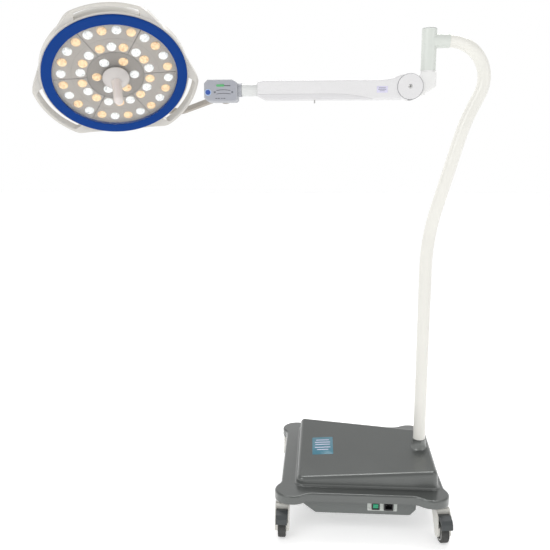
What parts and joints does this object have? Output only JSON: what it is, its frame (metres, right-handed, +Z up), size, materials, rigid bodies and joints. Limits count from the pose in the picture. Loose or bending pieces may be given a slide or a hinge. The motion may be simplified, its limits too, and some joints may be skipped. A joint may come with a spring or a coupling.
{
  "type": "mobile surgical light",
  "caption": "Round LED operating light with grab loops and a centre handle, on a sprung arm and bent pole over a castered base.",
  "frame": {"origin": "on the floor, under the centre of the base", "axes": "+Z up; +X from the light head towards the pole; +Y from the mains inlet towards the back"},
  "size_m": [1.5885, 0.7397, 1.8123],
  "materials": {
    "base_shell": "pearl grey, satin",
    "steel_plate": "black paint",
    "iron": "raw cast",
    "battery_case": "matt",
    "supply_case": "brushed",
    "tray_sheet": "grey-green paint",
    "inlet_plastic": "black",
    "plate_metal": "grey paint",
    "screw_steel": "zinc",
    "rocker_green": "green, lit",
    "pole_enamel": "warm white powder coat",
    "collar_plastic": "moulded",
    "column_enamel": "light grey powder coat",
    "cap_plastic": "moulded",
    "bush_plastic": "natural",
    "caster_plastic": "cream",
    "caster_hub": "grey",
    "caster_tyre": "dark grey, smooth",
    "pedal_plastic": "dark grey",
    "knuckle_enamel": "white powder coat",
    "arm_plastic": "white",
    "arm_cover_plastic": "white",
    "spring_steel": "oiled",
    "tube_enamel": "light grey",
    "box_plastic": "grey",
    "panel_film": "grey film",
    "button_plastic": "light grey",
    "yoke_enamel": "taupe",
    "bracket_metal": "grey paint",
    "head_plastic": "warm light grey",
    "grip_plastic": "warm light grey",
    "carrier_plastic": "beige grey",
    "board_laminate": "solder mask",
    "lens_warm": "warm white, lit",
    "lens_white": "white, lit",
    "front_glass": "clear",
    "bezel_blue": "deep blue",
    "flange_plastic": "light grey",
    "handle_plastic": "pinkish light grey"
  },
  "bodies": {
    "stand": {"base_cover": "base_shell", "chassis_plate": "steel_plate", "counterweight": "iron", "battery_pack": "battery_case", "power_supply": "supply_case", "lower_tray": "tray_sheet", "inlet_plate": "plate_metal", "inlet_socket": "inlet_plastic", "plate_screws": "screw_steel", "switch_bezel": "inlet_plastic", "pole": "pole_enamel", "pole_collar": "collar_plastic", "pole_mount": "steel_plate", "pole_bolts": "screw_steel", "column_tube": "column_enamel", "column_cap": "cap_plastic", "column_bushes": "bush_plastic", "caster_stems": "screw_steel"},
    "rocker": {"switch_rocker": "rocker_green"},
    "swivel_knuckle": {"knuckle": "knuckle_enamel"},
    "arm": {"arm_shell": "arm_plastic", "arm_lower_cover": "arm_cover_plastic", "pivot_pin": "screw_steel", "pivot_caps": "arm_plastic", "arm_spring": "spring_steel", "adjusting_screw": "screw_steel", "front_tube": "tube_enamel"},
    "balance_rod": {"spring_rod": "screw_steel"},
    "control": {"control_box": "box_plastic", "control_panel": "panel_film"},
    "button": {"power_button": "button_plastic"},
    "yoke_link": {"yoke": "yoke_enamel"},
    "head": {"hub_bracket": "bracket_metal", "tilt_pin": "screw_steel", "head_housing": "head_plastic", "grip_handles": "grip_plastic", "light_carrier": "carrier_plastic", "led_boards": "board_laminate", "lenses_warm": "lens_warm", "lenses_white": "lens_white", "front_glass": "front_glass", "bezel": "bezel_blue", "handle_flange": "flange_plastic"},
    "grip": {"sterile_handle": "handle_plastic"},
    "caster_front_left": {"caster_fork_front_left": "caster_plastic"},
    "wheel_front_left": {"caster_hub_front_left": "caster_hub", "caster_tyre_front_left": "caster_tyre"},
    "brake_front_left": {"caster_pedal_front_left": "pedal_plastic"},
    "caster_front_right": {"caster_fork_front_right": "caster_plastic"},
    "wheel_front_right": {"caster_hub_front_right": "caster_hub", "caster_tyre_front_right": "caster_tyre"},
    "brake_front_right": {"caster_pedal_front_right": "pedal_plastic"},
    "caster_back_left": {"caster_fork_back_left": "caster_plastic"},
    "wheel_back_left": {"caster_hub_back_left": "caster_hub", "caster_tyre_back_left": "caster_tyre"},
    "brake_back_left": {"caster_pedal_back_left": "pedal_plastic"},
    "caster_back_right": {"caster_fork_back_right": "caster_plastic"},
    "wheel_back_right": {"caster_hub_back_right": "caster_hub", "caster_tyre_back_right": "caster_tyre"},
    "brake_back_right": {"caster_pedal_back_right": "pedal_plastic"}
  },
  "joints": [
    {"name": "column_swivel", "type": "hinge", "parent": "stand", "child": "swivel_knuckle", "pos_m": [0.212, -0.075, 1.69], "axis": [0, 0, 1], "range_deg": [-140, 140]},
    {"name": "arm_pitch", "type": "hinge", "parent": "swivel_knuckle", "child": "arm", "pos_m": [0.149, -0.075, 1.571], "axis": [0, 1, 0], "range_deg": [-45, 30]},
    {"name": "rod_slide", "type": "slide", "parent": "arm", "child": "balance_rod", "axis": [1, 0, 0], "range_m": [-0.013, 0.019], "deforming": ["arm_spring"]},
    {"name": "neck_roll", "type": "hinge", "parent": "arm", "child": "control", "pos_m": [-0.439, -0.075, 1.566], "axis": [1, 0, 0], "range_deg": [-90, 90]},
    {"name": "button_press", "type": "slide", "parent": "control", "child": "button", "axis": [0, 1, 0], "range_m": [0, 0.0015], "stiffness_N_per_m": 1200},
    {"name": "yoke_pivot", "type": "hinge", "parent": "control", "child": "yoke_link", "pos_m": [-0.504, -0.042, 1.554], "axis": [0, 1, 0], "range_deg": [-60, 60]},
    {"name": "head_tilt", "type": "hinge", "parent": "yoke_link", "child": "head", "pos_m": [-0.94692, 0.04554, 1.64723], "axis": [0.9326, 0.361, 0], "range_deg": [-45, 35]},
    {"name": "handle_turn", "type": "hinge", "parent": "head", "child": "grip", "pos_m": [-0.8764, -0.1307, 1.6015], "axis": [0.2514, -0.6494, -0.7177], "range_deg": [-60, 60]},
    {"name": "mains_rocker", "type": "hinge", "parent": "stand", "child": "rocker", "pos_m": [0.051, -0.2911, 0.11], "axis": [1, 0, 0], "range_deg": [-22, 0]},
    {"name": "swivel_front_left", "type": "hinge", "parent": "stand", "child": "caster_front_left", "pos_m": [-0.279, -0.289, 0.118], "axis": [0, 0, 1], "continuous": true},
    {"name": "roll_front_left", "type": "hinge", "parent": "caster_front_left", "child": "wheel_front_left", "pos_m": [-0.27952, -0.31899, 0.0375], "axis": [-0.9998, 0.0175, 0], "continuous": true},
    {"name": "brake_front_left", "type": "hinge", "parent": "caster_front_left", "child": "brake_front_left", "pos_m": [-0.27963, -0.32499, 0.094], "axis": [0.9998, -0.0175, 0], "range_deg": [0, 8]},
    {"name": "swivel_front_right", "type": "hinge", "parent": "stand", "child": "caster_front_right", "pos_m": [0.279, -0.289, 0.118], "axis": [0, 0, 1], "continuous": true},
    {"name": "roll_front_right", "type": "hinge", "parent": "caster_front_right", "child": "wheel_front_right", "pos_m": [0.28318, -0.31871, 0.0375], "axis": [-0.9903, -0.1392, 0], "continuous": true},
    {"name": "brake_front_right", "type": "hinge", "parent": "caster_front_right", "child": "brake_front_right", "pos_m": [0.28401, -0.32465, 0.094], "axis": [0.9903, 0.1392, 0], "range_deg": [0, 8]},
    {"name": "swivel_back_left", "type": "hinge", "parent": "stand", "child": "caster_back_left", "pos_m": [-0.279, 0.289, 0.118], "axis": [0, 0, 1], "continuous": true},
    {"name": "roll_back_left", "type": "hinge", "parent": "caster_back_left", "child": "wheel_back_left", "pos_m": [-0.28214, 0.31884, 0.0375], "axis": [0.9945, 0.1045, 0], "continuous": true},
    {"name": "brake_back_left", "type": "hinge", "parent": "caster_back_left", "child": "brake_back_left", "pos_m": [-0.28276, 0.3248, 0.094], "axis": [-0.9945, -0.1045, 0], "range_deg": [0, 8]},
    {"name": "swivel_back_right", "type": "hinge", "parent": "stand", "child": "caster_back_right", "pos_m": [0.279, 0.289, 0.118], "axis": [0, 0, 1], "continuous": true},
    {"name": "roll_back_right", "type": "hinge", "parent": "caster_back_right", "child": "wheel_back_right", "pos_m": [0.29308, 0.31549, 0.0375], "axis": [0.8829, -0.4695, 0], "continuous": true},
    {"name": "brake_back_right", "type": "hinge", "parent": "caster_back_right", "child": "brake_back_right", "pos_m": [0.2959, 0.32079, 0.094], "axis": [-0.8829, 0.4695, 0], "range_deg": [0, 8]}
  ],
  "couplings": [
    {"joint": "rod_slide", "follows": "arm_pitch", "m_per_rad": -0.022}
  ]
}
